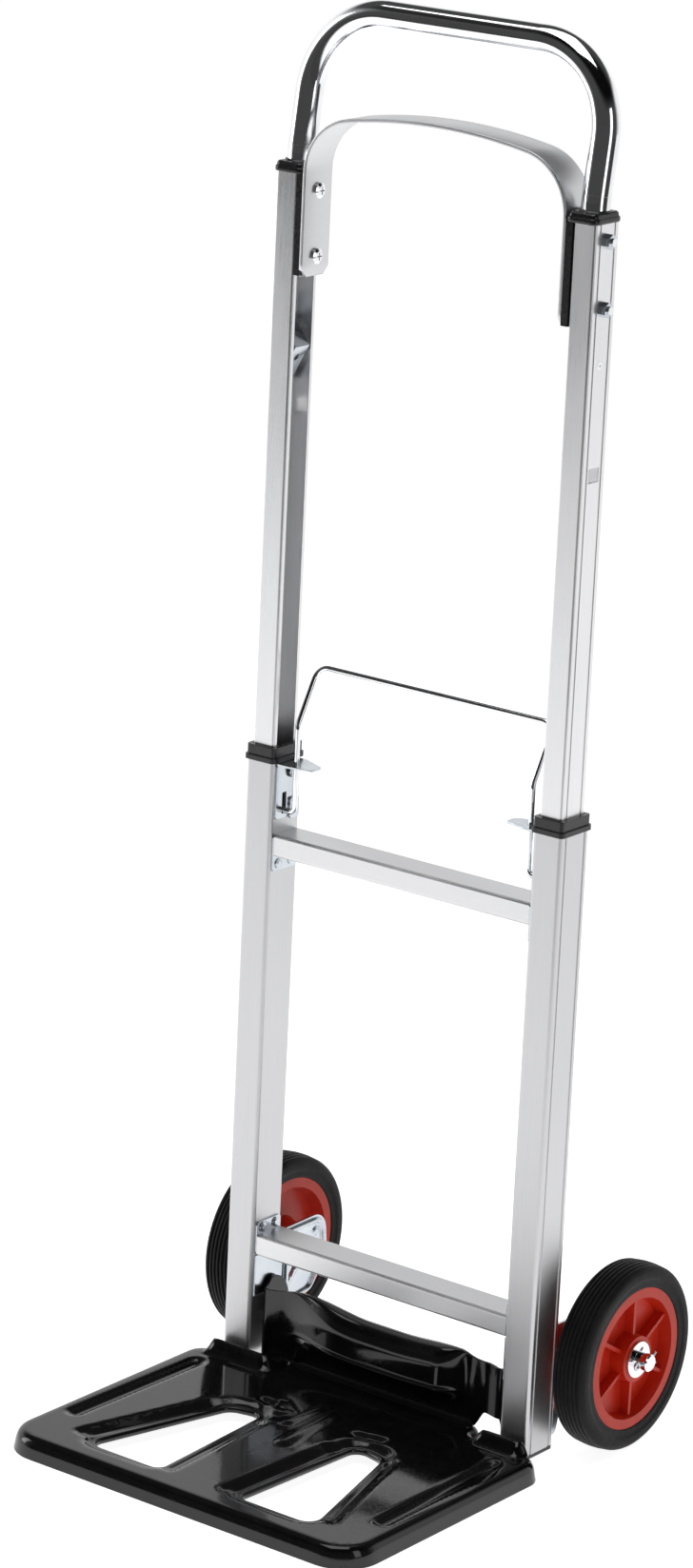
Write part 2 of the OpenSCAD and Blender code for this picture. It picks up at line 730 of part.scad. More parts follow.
module deck_edge() {
    translate([0, front_mid[1], 0]) rotate([90, 0, -90])
        linear_extrude(2 * front_mid[0], center = true) edge_section(plate_corner_r);
    translate([0, rear_mid[1], 0]) rotate([90, 0, 90])
        linear_extrude(2 * rear_mid[0], center = true) edge_section(plate_rear_r);
    for (side = SIDES) on_side(side) {
        translate(front_mid) rotate([0, 0, -90]) rotate_extrude(angle = 90)
            edge_section(plate_corner_r);
        translate([front_mid[0], rear_mid[1], 0]) rotate([90, 0, 0])
            linear_extrude(rear_mid[1] - front_mid[1]) edge_section(plate_corner_r);
        translate(rear_mid) rotate_extrude(angle = 90) edge_section(plate_rear_r);
    }
}

// The deck's flat area inside the rolled edge.
module deck_area() {
    fr = plate_corner_r - roll;
    rr = plate_rear_r - roll;
    edge = plate_w / 2 - roll;
    translate([-edge, front_mid[1]]) square([2 * edge, rear_mid[1] - front_mid[1]]);
    translate([-front_mid[0], front_mid[1] - fr]) square([2 * front_mid[0], fr + lap]);
    translate([-rear_mid[0], rear_mid[1] - lap]) square([2 * rear_mid[0], rr + lap]);
    for (side = SIDES) mirror([side == LEFT ? 1 : 0, 0]) {
        translate(front_mid) circle(fr);
        translate(rear_mid) circle(rr);
    }
}

// Opening in the deck on the right-hand side, as corners [x, y, radius], anticlockwise.
hole_inset = 32;
hole_front_y = -plate_l + hole_inset;
hole_back_y = -76;
hole_out = 58;         // from the plate's side edge in to the openings' front corners
hole_corners = [
    [36, hole_front_y, 9], [plate_w / 2 - hole_out, hole_front_y + 1, 12],
    [74, hole_back_y - 4, 13], [45, hole_back_y, 10]
];

// The same corners moved outwards by a distance.
function grown(corners, by) =
    let (n = len(corners), at = function (i) [corners[i % n][0], corners[i % n][1]])
    [for (i = [0 : n - 1])
        let (a = unit(at(i) - at(i + n - 1)), b = unit(at(i + 1) - at(i)))
        let (na = [a[1], -a[0]], nb = [b[1], -b[0]])
        let (p = at(i) + (na + nb) * by / (1 + na * nb))
        [p[0], p[1], corners[i][2] + by]];

module deck_hole(grow) polygon(rounded(grown(hole_corners, grow), 5));

channel_x = plate_w / 2 - 26;
channel_inset = 30;
channel_front_y = hole_front_y + channel_inset;
channel_back_y = -33;
channel_rib_w = 14;

module deck_channel(grow) {
    r = channel_rib_w / 2 + grow;
    translate([channel_x - r, channel_front_y]) square([2 * r, channel_back_y - channel_front_y]);
    for (y = [channel_front_y, channel_back_y]) translate([channel_x, y]) circle(r);
}

// A flat shape as a plate between two heights.
module layer(low, high) translate([0, 0, low]) linear_extrude(high - low) children();

module deck() {
    sunk = deck_z - flange_drop;
    lip_z = 5;
    layer(deck_low, deck_z) difference() {
        deck_area();
        for (side = SIDES) mirror([side == LEFT ? 1 : 0, 0]) {
            deck_hole(flange_w);
            deck_channel(0);
        }
    }
    for (side = SIDES) on_side(side) {
        layer(sunk - sheet, deck_z - lap) difference() {
            deck_hole(flange_w + sheet);
            deck_hole(flange_w);
        }
        layer(sunk - sheet, sunk) difference() {
            deck_hole(flange_w + lap);
            deck_hole(0);
        }
        layer(lip_z, sunk - lap) difference() {
            deck_hole(sheet);
            deck_hole(0);
        }
        layer(sunk - sheet, deck_z - lap) difference() {
            deck_channel(sheet);
            deck_channel(0);
        }
        layer(sunk - sheet, sunk) deck_channel(lap);
    }
    deck_edge();
}

// The back panel's middle, bulged forward, as a (Y, Z) outline.
bulge_front = panel_y - bulge_d;
bulge_low = [
    [panel_y, deck_low], [panel_y, bulge_lip_z - 10], [bulge_front, bulge_lip_z],
    [bulge_front, panel_top_z - 14], [bulge_front + 3, panel_top_z - 6], [panel_y, panel_top_z]
];
bulge_skin = concat(bulge_low, [
    [panel_y + 6, panel_top_z], [panel_y + 6, panel_top_z - sheet],
    [panel_y + 0.8, panel_top_z - sheet], [bulge_front + 5.2, panel_top_z - 7.8],
    [bulge_front + sheet, panel_top_z - 14.6], [bulge_front + sheet, bulge_lip_z + 1.2],
    [panel_y + sheet, bulge_lip_z - 8.8], [panel_y + sheet, deck_low]
]);
bulge_end = concat(bulge_low, [[panel_y + sheet, panel_top_z], [panel_y + sheet, deck_low]]);

module back_panel() {
    ear_x = bulge_x + ear_foot_w;
    cheek_end = pivot_y + cheek_reach;
    along_x(-bulge_x - lap, bulge_x + lap) polygon(bulge_skin);
    span([-ear_x, rear_mid[1] + plate_rear_r - roll - lap, deck_low], [ear_x, panel_y + sheet, deck_z]);
    for (side = SIDES) on_side(side) {
        along_x(bulge_x, bulge_x + sheet) polygon(bulge_end);
        span([bulge_x, panel_y, deck_low], [ear_x, panel_y + sheet, ear_top_z]);
        difference() {
            union() {
                layer(ear_low_z, ear_top_z) polygon(rounded([
                    [bulge_x, panel_y, 0], [cheek_out, panel_y, ear_bend_r], [cheek_out, pivot_y, 0],
                    [cheek_in, pivot_y, 0], [cheek_in, panel_y + sheet, ear_bend_r - sheet],
                    [bulge_x, panel_y + sheet, 0]
                ], 4));
                along_x(cheek_in, cheek_out) polygon(rounded([
                    [panel_y + ear_bend_r, cheek_low_z, 4], [pivot_y + 13, cheek_low_z, 9],
                    [cheek_end, pivot_z + 3, 11], [cheek_end - 5, panel_top_z - 7, 8],
                    [cheek_end - 15, panel_top_z + cheek_rise, 8],
                    [panel_y + ear_bend_r, panel_top_z + cheek_rise, 4]
                ]));
            }
            translate([cheek_in - 1, pivot_y, pivot_z]) facing_out()
                cylinder(d = pivot_d + 2 * turn_gap, h = sheet + 2);
        }
    }
}

// Upstands of the deck in front of the rails' feet.
module toe_stops() {
    back = -plate_gap;
    for (side = SIDES) on_side(side) along_x(rail_in + 2, rail_out + 4) polygon(rounded([
        [back - stop_d, deck_low, 0], [back, deck_low, 0], [back, stop_top, 2], [back - 7, stop_top, 5]
    ]));
}

module toe_plate() {
    color(BLACK_PAINT) {
        deck();
        back_panel();
        toe_stops();
    }
}

// ---- wheel arms ----

module hinge_ear_outline(r) {
    translate([hinge_x, hinge_y]) circle(r);
}

module hinge_bracket(side) {
    back = rail_d + bracket_t;
    color(ZINC) on_side(side) difference() {
        union() {
            span([latch_face, channel_y0, pivot_z + 19], [rail_in, back, hinge_high]);
            span([latch_face, rail_d, hinge_low], [rail_out - 2, back, hinge_high]);
            for (z = [hinge_low, hinge_high - 2]) translate([0, 0, z]) linear_extrude(2) {
                translate([hinge_x - hinge_ear_r, rail_d + lap]) square([2 * hinge_ear_r, hinge_y - rail_d]);
                hinge_ear_outline(hinge_ear_r);
            }
        }
        translate([hinge_x, hinge_y, 0]) cylinder(d = hinge_d + 2 * turn_gap, h = hinge_high + 10);
        for (z = hinge_rivet_z) translate([hinge_rivet_x, back + 1, z]) rotate([90, 0, 0])
            cylinder(d = rivet_d + 2 * turn_gap, h = bracket_t + 2);
    }
}

module hinge_pin(side) {
    color(ZINC) on_side(side) translate([hinge_x, hinge_y, hinge_low - 4]) {
        cylinder(d = hinge_d, h = hinge_high - hinge_low + 4 + lap);
        translate([0, 0, hinge_high - hinge_low + 4]) cylinder(d = hinge_d + 4, h = 2.5);
    }
}

module hinge_rivets() {
    color(ZINC) for (side = SIDES, z = hinge_rivet_z) on_side(side)
        translate([hinge_rivet_x, rail_d + bracket_t, z]) rotate([-90, 0, 0]) rivet(bracket_t + rail_wall);
}

module wheel_arm(side) {
    low = 12;
    high = hinge_high + 4;
    front = hinge_y - 2;
    plate = rounded([
        [front, low, 2], [front + arm_foot, low, 4], [front + arm_step, axle_z - arm_r - 12, 12],
        [axle_y + arm_foot, axle_z - arm_r - arm_foot, arm_step], [axle_y + arm_r, axle_z - 6, arm_heel_r],
        [axle_y + arm_r - 4, high, 16], [front + 20, high - 1, 8], [front, high, 2]
    ], 8);
    ear_z = [hinge_low + 2 + arm_ear_gap, hinge_high - 4 - arm_ear_gap];
    color(ZINC) on_side(side) difference() {
        union() {
            along_x(arm_x, arm_x + arm_t) polygon(plate);
            for (z = ear_z) translate([0, 0, z]) linear_extrude(2) {
                hinge_ear_outline(hinge_ear_r);
                translate([hinge_x, hinge_y - hinge_ear_r])
                    square([arm_x + lap - hinge_x, 2 * hinge_ear_r + 4]);
            }
            translate([hinge_x, hinge_y, ear_z[0]]) difference() {
                cylinder(r = hinge_ear_r - 1, h = ear_z[1] - ear_z[0]);
                translate([-hinge_ear_r, -hinge_ear_r - 1, -1])
                    cube([2 * hinge_ear_r, hinge_ear_r, ear_z[1] - ear_z[0] + 2]);
            }
        }
        translate([hinge_x, hinge_y, 0]) cylinder(d = hinge_d + 2 * turn_gap, h = high + 10);
        translate([arm_x - 1, axle_y, axle_z]) facing_out()
            cylinder(d = axle_d + 2 * touch, h = arm_t + 2);
    }
}

cotter_x = axle_end - 5;
cotter_d = 3;

module axle(side) {
    head_t = 3;
    chamfer = 1;
    color(CHROME) on_side(side) difference() {
        translate([arm_x, axle_y, axle_z]) {
            facing_in() cylinder(d = axle_d + 7, h = head_t);
            translate([-lap, 0, 0]) facing_out() cylinder(d = axle_d, h = axle_end - chamfer - arm_x + lap);
            translate([axle_end - chamfer - arm_x, 0, 0]) facing_out()
                cylinder(d1 = axle_d, d2 = axle_d - 2 * chamfer, h = chamfer);
        }
        translate([cotter_x, axle_y + axle_d, axle_z]) rotate([90, 0, 0])
            cylinder(d = cotter_d + 2 * turn_gap, h = 2 * axle_d);
    }
}

module axle_washers(side) {
    color(CHROME) on_side(side) for (x = [arm_x + arm_t, boss_out + slide_gap])
        translate([x, axle_y, axle_z]) facing_out() difference() {
            cylinder(r = washer_r, h = washer_t);
            translate([0, 0, -1]) cylinder(d = axle_d + 2 * turn_gap, h = washer_t + 2);
        }
}

module cotter_pin(side) {
    eye_r = 2.6;
    reach = axle_d / 2 + 2;
    color(ZINC) on_side(side) translate([cotter_x, axle_y, axle_z]) {
        rotate([90, 0, 0]) cylinder(d = cotter_d, h = 2 * reach, center = true);
        translate([0, -reach - eye_r, 0]) rotate([0, 90, 0])
            rotate_extrude() translate([eye_r, 0]) circle(d = cotter_d * 0.8);
        for (tilt = [-40, 40]) translate([0, reach - 1, 0]) rotate([-90 + tilt, 0, 0])
            cylinder(d = cotter_d * 0.6, h = 7);
    }
}

// ---- wheels ----

// Turns a profile drawn as (radius, offset from the tyre's middle) about the axle.
module round_wheel() {
    translate([(tyre_in + tyre_out) / 2, axle_y, axle_z]) facing_out() rotate_extrude() children();
}

module tyre(side) {
    half = wheel_w / 2;
    r = wheel_d / 2;
    groove = 1.8;
    depth = 2;
    color(RUBBER) on_side(side) round_wheel() difference() {
        polygon([
            [rim_r + touch, -half + 1], [r - 6, -half], [r - 2.2, -half + 1.8], [r - 0.6, -half * 0.6],
            [r, -half * 0.2], [r, half * 0.2], [r - 0.6, half * 0.6], [r - 2.2, half - 1.8],
            [r - 6, half], [rim_r + touch, half - 1]
        ]);
        for (x = [-0.54, -0.18, 0.18, 0.54])
            translate([r - depth, x * half - groove / 2]) square([depth + 1, groove]);
    }
}

module hub(side) {
    half = wheel_w / 2;
    middle = (tyre_in + tyre_out) / 2;
    face = half - 1.5;
    ring_r = rim_r - 8;
    boss_r = bush_r + 9;
    web = 2;
    rib_t = 3;
    rib_face = face - 3;
    in_end = boss_in - middle;
    color(RED) on_side(side) {
        round_wheel() polygon([
            [bush_r + touch, in_end], [bush_r + 4, in_end], [bush_r + 14, -web - 3], [ring_r - 4, -web],
            [ring_r, -face], [rim_r, -face], [rim_r, face], [ring_r, face], [ring_r - 2.5, web],
            [boss_r + 1, web], [boss_r, half], [bush_r + touch, half]
        ]);
        translate([middle + web - lap, axle_y, axle_z])
            for (a = [30 : 60 : 330]) rotate([a, 0, 0]) translate([0, boss_r - 1, -rib_t / 2])
                cube([rib_face - web + lap, ring_r - boss_r, rib_t]);
    }
}

module hub_bush(side) {
    color(BLACK_PLASTIC) on_side(side) translate([boss_in, axle_y, axle_z]) facing_out() difference() {
        cylinder(r = bush_r, h = boss_out - boss_in);
        translate([0, 0, -1]) cylinder(d = axle_d + 2 * turn_gap, h = boss_out - boss_in + 2);
    }
}

translate([0, origin_y, 0]) {
    lower_rail(LEFT);  // lower_rail_left
    lower_rail(RIGHT);  // lower_rail_right
    crossbar(bar_high_z);  // crossbar_upper
    crossbar(crossbar_low_z);  // crossbar_lower
    crossbar_bracket(LEFT, bar_high_z, 13, 0, bar_high_rivet_z);  // crossbar_bracket_upper_left
    crossbar_bracket(RIGHT, bar_high_z, 13, 0, bar_high_rivet_z);  // crossbar_bracket_upper_right
    crossbar_bracket(LEFT, crossbar_low_z, 0, 10, bar_low_rivet_z);  // crossbar_bracket_lower_left
    crossbar_bracket(RIGHT, crossbar_low_z, 0, 10, bar_low_rivet_z);  // crossbar_bracket_lower_right
    crossbar_rivets();
    collar(LEFT);  // collar_left
    collar(RIGHT);  // collar_right
    foot(LEFT);  // foot_left
    foot(RIGHT);  // foot_right
    latch_bracket(LEFT);  // latch_bracket_left
    latch_bracket(RIGHT);  // latch_bracket_right
    latch_screws();
    latch_washers();
    hinge_bracket(LEFT);  // hinge_bracket_left
    hinge_bracket(RIGHT);  // hinge_bracket_right
    hinge_pin(LEFT);  // hinge_pin_left
    hinge_pin(RIGHT);  // hinge_pin_right
    hinge_rivets();
    pivot_pin(LEFT);  // pivot_pin_left
    pivot_pin(RIGHT);  // pivot_pin_right
    upper_rail(LEFT);  // upper_rail_left
    upper_rail(RIGHT);  // upper_rail_right
    cap(LEFT);  // cap_left
    cap(RIGHT);  // cap_right
    handle_tube();
    bow_strip();
    spacer(LEFT);  // spacer_left
    spacer(RIGHT);  // spacer_right
    strip_bolts();
    strip_nuts();
    detent_spring(LEFT);  // detent_spring_left
    detent_spring(RIGHT);  // detent_spring_right
    detent_screws();
    glide(LEFT);  // glide_left
    glide(RIGHT);  // glide_right
    toe_plate();
    release_bail();
    latch_pawl(LEFT);  // latch_pawl_left
    latch_pawl(RIGHT);  // latch_pawl_right
    wheel_arm(LEFT);  // wheel_arm_left
    wheel_arm(RIGHT);  // wheel_arm_right
    axle(LEFT);  // axle_left
    axle(RIGHT);  // axle_right
    axle_washers(LEFT);  // axle_washers_left
    axle_washers(RIGHT);  // axle_washers_right
    cotter_pin(LEFT);  // cotter_pin_left
    cotter_pin(RIGHT);  // cotter_pin_right
    tyre(LEFT);  // tyre_left
    tyre(RIGHT);  // tyre_right
    hub(LEFT);  // hub_left
    hub(RIGHT);  // hub_right
    hub_bush(LEFT);  // hub_bush_left
    hub_bush(RIGHT);  // hub_bush_right
}
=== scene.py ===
"""Folding hand truck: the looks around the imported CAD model. Lengths are in metres."""

import json
import math

import bmesh
import bpy
from mathutils import Matrix, Vector
from mathutils.geometry import delaunay_2d_cdt


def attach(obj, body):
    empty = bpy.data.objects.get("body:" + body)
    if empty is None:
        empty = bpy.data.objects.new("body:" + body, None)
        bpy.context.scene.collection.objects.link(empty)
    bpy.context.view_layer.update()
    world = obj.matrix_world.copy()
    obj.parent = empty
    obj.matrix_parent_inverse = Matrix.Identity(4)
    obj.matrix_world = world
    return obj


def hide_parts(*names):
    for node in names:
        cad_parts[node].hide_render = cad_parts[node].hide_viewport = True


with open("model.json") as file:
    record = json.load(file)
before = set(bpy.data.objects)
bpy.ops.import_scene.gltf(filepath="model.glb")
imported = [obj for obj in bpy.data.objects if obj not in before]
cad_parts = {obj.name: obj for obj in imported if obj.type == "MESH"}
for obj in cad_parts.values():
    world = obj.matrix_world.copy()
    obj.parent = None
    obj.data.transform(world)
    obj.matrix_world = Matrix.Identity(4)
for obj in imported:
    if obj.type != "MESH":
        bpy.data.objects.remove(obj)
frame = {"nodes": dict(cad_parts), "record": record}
scene = bpy.context.scene
scene.view_settings.view_transform = "Standard"
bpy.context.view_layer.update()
MM = 0.001
Y0 = 0.0415  # the lower rails' front faces
LEFT, RIGHT = -1, 1
SIDE_NAME = {LEFT: "left", RIGHT: "right"}


# ---- materials ----


class Tree:
    """A small helper that adds nodes to the shader tree of a material or a world."""

    def __init__(self, owner):
        owner.use_nodes = True
        self.tree = owner.node_tree
        self.tree.nodes.clear()

    def link(self, a, b):
        self.tree.links.new(a, b)

    def add(self, kind, **values):
        node = self.tree.nodes.new("ShaderNode" + kind)
        for key, value in values.items():
            if hasattr(node, key):
                setattr(node, key, value)
            else:
                node.inputs[key.replace("_", " ")].default_value = value
        return node

    def ramp(self, source, low, high, start=0.35, end=0.65, **values):
        """low where the source is at start or less, high where it is at end or more."""
        r = self.add("MapRange", From_Min=start, From_Max=end, To_Min=low, To_Max=high, **values)
        self.link(source, r.inputs["Value"])
        return r.outputs[0]

    def soft_step(self, source, low, high, start, end):
        return self.ramp(source, low, high, start, end, interpolation_type="SMOOTHSTEP")

    def combine(self, operation, a, b):
        m = self.add("Math", operation=operation)
        self.link(a, m.inputs[0])
        self.link(b, m.inputs[1])
        return m.outputs[0]

    def along_view(self, source):
        """How far a point or direction lies away from the camera's side of the truck."""
        m = self.add("VectorMath", operation="DOT_PRODUCT")
        m.inputs[1].default_value = (-math.sin(AZIMUTH), math.cos(AZIMUTH), 0.0)
        self.link(source, m.inputs[0])
        return m.outputs["Value"]

    def mix_shaders(self, share, a, b):
        m = self.add("MixShader")
        for i, source in enumerate((share, a, b)):
            self.link(source, m.inputs[i])
        return m.outputs[0]


class Nodes(Tree):
    """The nodes of one new material."""

    def __init__(self, name):
        self.mat = bpy.data.materials.new(name)
        super().__init__(self.mat)
        self.out = self.add("OutputMaterial")
        self.bsdf = self.add("BsdfPrincipled")
        self.link(self.bsdf.outputs[0], self.out.inputs[0])

    def base(self, **values):
        for key, value in values.items():
            self.bsdf.inputs[key.replace("_", " ")].default_value = value

    def coords(self, scale):
        tex = self.add("TexCoord")
        mapping = self.add("Mapping", Scale=scale)
        self.link(tex.outputs["Object"], mapping.inputs[0])
        return mapping.outputs[0]

    def noise(self, scale, detail=3.0, stretch=(1, 1, 1)):
        n = self.add("TexNoise", Scale=scale, Detail=detail, Roughness=0.55)
        self.link(self.coords(stretch), n.inputs["Vector"])
        return n.outputs["Fac"]

    def blend_colours(self, source, a, b):
        m = self.add("Mix", data_type="RGBA")
        self.link(source, m.inputs["Factor"])
        m.inputs[6].default_value = (*a, 1)
        m.inputs[7].default_value = (*b, 1)
        self.link(m.outputs[2], self.bsdf.inputs["Base Color"])

    def normals(self, height=None, strength=0.1, distance=0.0002, edge=0.0):
        normal = None
        if edge:
            bevel = self.add("Bevel", Radius=edge)
            bevel.samples = 6
            normal = bevel.outputs[0]
        if height is not None:
            bump = self.add("Bump", Strength=strength, Distance=distance)
            self.link(height, bump.inputs["Height"])
            if normal:
                self.link(normal, bump.inputs["Normal"])
            normal = bump.outputs[0]
        if normal:
            self.link(normal, self.bsdf.inputs["Normal"])


def brushed(name, colour, dark, rough, along, edge=0.0004):
    """Metal with fine lines along one axis and a faint cloudy change of tone."""
    m = Nodes(name)
    stretch = [1.0, 1.0, 1.0]
    stretch[along] = 0.012
    fine = m.noise(1800, 2.0, stretch)
    cloud = m.noise(14, 3.0, [1.0 if i != along else 0.35 for i in range(3)])
    both = m.add("Math", operation="MULTIPLY_ADD")
    m.link(fine, both.inputs[0])
    both.inputs[1].default_value = 0.45
    m.link(cloud, both.inputs[2])
    m.blend_colours(m.ramp(both.outputs[0], 0, 1, 0.45, 0.95), dark, colour)
    m.link(m.ramp(both.outputs[0], rough - 0.05, rough + 0.08, 0.45, 0.95), m.bsdf.inputs["Roughness"])
    m.base(Metallic=1.0)
    m.normals(fine, 0.10, 0.0001, edge)
    return m.mat


def plated(name, colour, dark, rough):
    """Bright plated steel: a slightly mottled, cool metal."""
    m = Nodes(name)
    mottle = m.noise(30, 1.0)
    m.blend_colours(m.ramp(mottle, 0, 1), dark, colour)
    m.link(m.ramp(m.noise(60, 1.0), rough - 0.04, rough + 0.05), m.bsdf.inputs["Roughness"])
    m.base(Metallic=1.0)
    m.normals(m.noise(160, 0.0), 0.02, 0.0002, 0.0004)
    return m.mat


def chrome(name):
    """Polished chrome with a trace of haze and wiping marks."""
    rough = 0.05
    m = Nodes(name)
    m.blend_colours(m.ramp(m.noise(40, 3.0), 0, 1), (0.80, 0.81, 0.83), (0.90, 0.91, 0.93))
    m.link(m.ramp(m.noise(220, 4.0), rough * 0.7, rough * 1.8), m.bsdf.inputs["Roughness"])
    m.base(Metallic=1.0)
    m.normals(m.noise(900, 2.0), 0.01, 0.0001, 0.0003)
    return m.mat


def moulded(name, colour, light, rough, grain, sheen=0.5):
    """Plastic, rubber or paint with a fine grain; sheen is the strength of its reflections."""
    m = Nodes(name)
    m.blend_colours(m.ramp(m.noise(55, 4.0), 0, 1), colour, light)
    m.link(m.ramp(m.noise(420, 3.0), rough - 0.04, rough + 0.05), m.bsdf.inputs["Roughness"])
    m.base(IOR=1.5, Specular_IOR_Level=sheen)
    m.normals(m.noise(1500, 2.0), grain, 0.0001, 0.0005)
    return m.mat


ALUMINIUM = brushed("aluminium_upright", (0.83, 0.83, 0.84), (0.71, 0.715, 0.73), 0.30, 2)
ALUMINIUM_BAR = brushed("aluminium_across", (0.78, 0.78, 0.79), (0.66, 0.665, 0.68), 0.32, 0)
# painted shade: the lower rails get a darker copy of the same aluminium
ALUMINIUM_LOW_SHADED = brushed("aluminium_lower_shaded", (0.64, 0.64, 0.65), (0.54, 0.545, 0.56), 0.34, 2)
STRIP = brushed("aluminium_strip", (0.71, 0.715, 0.73), (0.64, 0.645, 0.66), 0.34, 1, edge=0)
ZINC = plated("zinc", (0.62, 0.66, 0.70), (0.55, 0.59, 0.64), 0.22)
CHROME = chrome("chrome")
PLASTIC = moulded("black_plastic", (0.006, 0.006, 0.007), (0.010, 0.010, 0.012), 0.24, 0.06)
PAINT = moulded("black_paint", (0.004, 0.004, 0.0045), (0.007, 0.007, 0.008), 0.09, 0.02)
TYRE = moulded("tyre_rubber", (0.012, 0.0115, 0.0125), (0.020, 0.019, 0.0205), 0.50, 0.30, sheen=0.12)
RED = moulded("red_plastic", (0.60, 0.026, 0.008), (0.68, 0.036, 0.012), 0.36, 0.08, sheen=0.30)

LOOKS = {
    "aluminium": ALUMINIUM, "zinc": ZINC, "chrome": CHROME, "black_plastic": PLASTIC,
    "black_paint": PAINT, "tyre": TYRE, "red_plastic": RED,
}


def wear(obj, mat):
    obj.data.materials.clear()
    obj.data.materials.append(mat)


slot_of = {p["node"]: p["material_slot"] for p in frame["record"]["subparts"]}
for node, obj in frame["nodes"].items():
    look = LOOKS[slot_of[node]]
    if look == ALUMINIUM and node.startswith("crossbar_"):
        look = ALUMINIUM_BAR
    # painted shade: the lower rails wear the darker copy of the aluminium
    if look == ALUMINIUM and node.startswith("lower_rail_"):
        look = ALUMINIUM_LOW_SHADED
    for i in range(max(1, len(obj.material_slots))):
        if obj.material_slots:
            obj.material_slots[i].material = look
        else:
            obj.data.materials.append(look)


# ---- geometry helpers ----


def to_world(p):
    """A point in millimetres, with Y = 0 on the rails' front faces."""
    return Vector((p[0] * MM, p[1] * MM + Y0, p[2] * MM))


def smooth(low, high, value):
    """0 below low, 1 above high and an S-shaped rise between them."""
    t = min(1.0, max(0.0, (value - low) / (high - low)))
    return t * t * (3 - 2 * t)


def rounded(corners, steps=8):
    """A closed outline through corners (x, y, radius)."""
    ring = []
    n = len(corners)
    for i, (x, y, r) in enumerate(corners):
        c = Vector((x, y))
        a = (Vector(corners[i - 1][:2]) - c).normalized()
        b = (Vector(corners[(i + 1) % n][:2]) - c).normalized()
        if r == 0:
            ring.append(c)
            continue
        half = a.angle(b) / 2
        middle = c + (a + b).normalized() * r / math.sin(half)
        start, end = c + a * r / math.tan(half) - middle, c + b * r / math.tan(half) - middle
        turn = start.angle_signed(end)
        for k in range(steps + 1):
            ring.append(middle + Matrix.Rotation(-turn * k / steps, 2) @ start)
    return ring


def resample(ring, step):
    """Extra points on a ring's long edges."""
    out = []
    for i, a in enumerate(ring):
        b = ring[(i + 1) % len(ring)]
        parts = max(1, round((b - a).length / step))
        out += [a.lerp(b, k / parts) for k in range(parts)]
    return out


def anticlockwise(ring):
    """The ring, turned round if it runs clockwise."""
    area = sum(a.x * b.y - b.x * a.y for a, b in zip(ring, ring[1:] + ring[:1]))
    return ring[::-1] if area < 0 else ring


def ring_normals(ring):
    """The outward direction at each point of an anticlockwise ring."""
    n = len(ring)
    out = []
    for i in range(n):
        t = ring[(i + 1) % n] - ring[i - 1]
        out.append(Vector((t.y, -t.x)).normalized())
    return out


def shifted(ring, by):
    """The ring moved outwards (for a ring that runs anticlockwise)."""
    return [p + n * by for p, n in zip(ring, ring_normals(ring))]


def distance_to_ring(ring, p):
    """Signed distance to a closed ring, negative inside."""
    best, inside = 1e9, False
    px, py = p
    ax, ay = ring[-1]
    for b in ring:
        bx, by = b
        dx, dy = bx - ax, by - ay
        t = ((px - ax) * dx + (py - ay) * dy) / (dx * dx + dy * dy + 1e-12)
        t = 0.0 if t < 0 else 1.0 if t > 1 else t
        ex, ey = px - ax - t * dx, py - ay - t * dy
        best = min(best, ex * ex + ey * ey)
        if (ay > py) != (by > py) and px < (bx - ax) * (py - ay) / (by - ay) + ax:
            inside = not inside
        ax, ay = bx, by
    return -math.sqrt(best) if inside else math.sqrt(best)


def distance_to_path(path, p):
    """Distance from a point to an open line of points."""
    best = 1e9
    for a, b in zip(path, path[1:]):
        dx, dy = b[0] - a[0], b[1] - a[1]
        t = ((p[0] - a[0]) * dx + (p[1] - a[1]) * dy) / (dx * dx + dy * dy)
        t = 0.0 if t < 0 else 1.0 if t > 1 else t
        best = min(best, math.hypot(p[0] - a[0] - t * dx, p[1] - a[1] - t * dy))
    return best


def make_piece(name, verts, faces, mat, body, slot, replaces=(), thick=0.0):
    """A visible mesh that rides a body; a sheet gets its thickness in mm, inwards from its faces."""
    mesh = bpy.data.meshes.new(name)
    mesh.from_pydata([to_world(v) for v in verts], [], faces)
    mesh.update()
    bm = bmesh.new()
    bm.from_mesh(mesh)
    bmesh.ops.remove_doubles(bm, verts=bm.verts, dist=0.00002)
    for f in bm.faces:
        f.smooth = True
    bm.to_mesh(mesh)
    bm.free()
    obj = bpy.data.objects.new(name, mesh)
    scene.collection.objects.link(obj)
    obj.data.materials.append(mat)
    if thick:
        sheet = obj.modifiers.new("sheet", "SOLIDIFY")
        sheet.thickness = thick * MM
        sheet.offset = -1.0
    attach(obj, body)
    for node in replaces:
        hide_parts(node)


# ---- toe plate: pressed from one sheet ----

DECK_Z = 16.0
PLATE_X, PLATE_FRONT, PLATE_REAR = 172.0, -249.0, -1.5
EDGE_ROLL = 9.0  # width of the rolled outer edge
TONGUE = 91.0  # half width of the part that reaches back to the panel
HOLE = [(37, -215, 9), (112, -215, 12), (76, -82, 14), (45, -75, 11)]
hole_ring = anticlockwise(resample(rounded(HOLE), 5))
DECK_X, DECK_FRONT, DECK_REAR = PLATE_X - EDGE_ROLL, PLATE_FRONT + EDGE_ROLL, PLATE_REAR - EDGE_ROLL
deck_ring = resample(rounded([
    (-DECK_X, DECK_FRONT, 24), (DECK_X, DECK_FRONT, 24), (DECK_X, DECK_REAR, 12), (TONGUE, DECK_REAR, 13),
    (TONGUE, 10, 3), (-TONGUE, 10, 3), (-TONGUE, DECK_REAR, 13), (-DECK_X, DECK_REAR, 12),
], 12), 4)

# Long dents: (path, half width, depth). Each is pressed down where the depth is positive.
DENTS = [
    ([(150, -181), (146.5, -38)], 8.5, 3.6),
    ([(121, -206), (87, -91)], 7.5, 2.6),
    ([(27.5, -214), (34, -98)], 7.0, 2.4),
    ([(36, -66), (58, -61)], 6.0, 2.4),
    ([(0, -46), (5, -118)], 8.0, -2.2),
]
RIDGE = [(-14, -42), (-17, -84)]


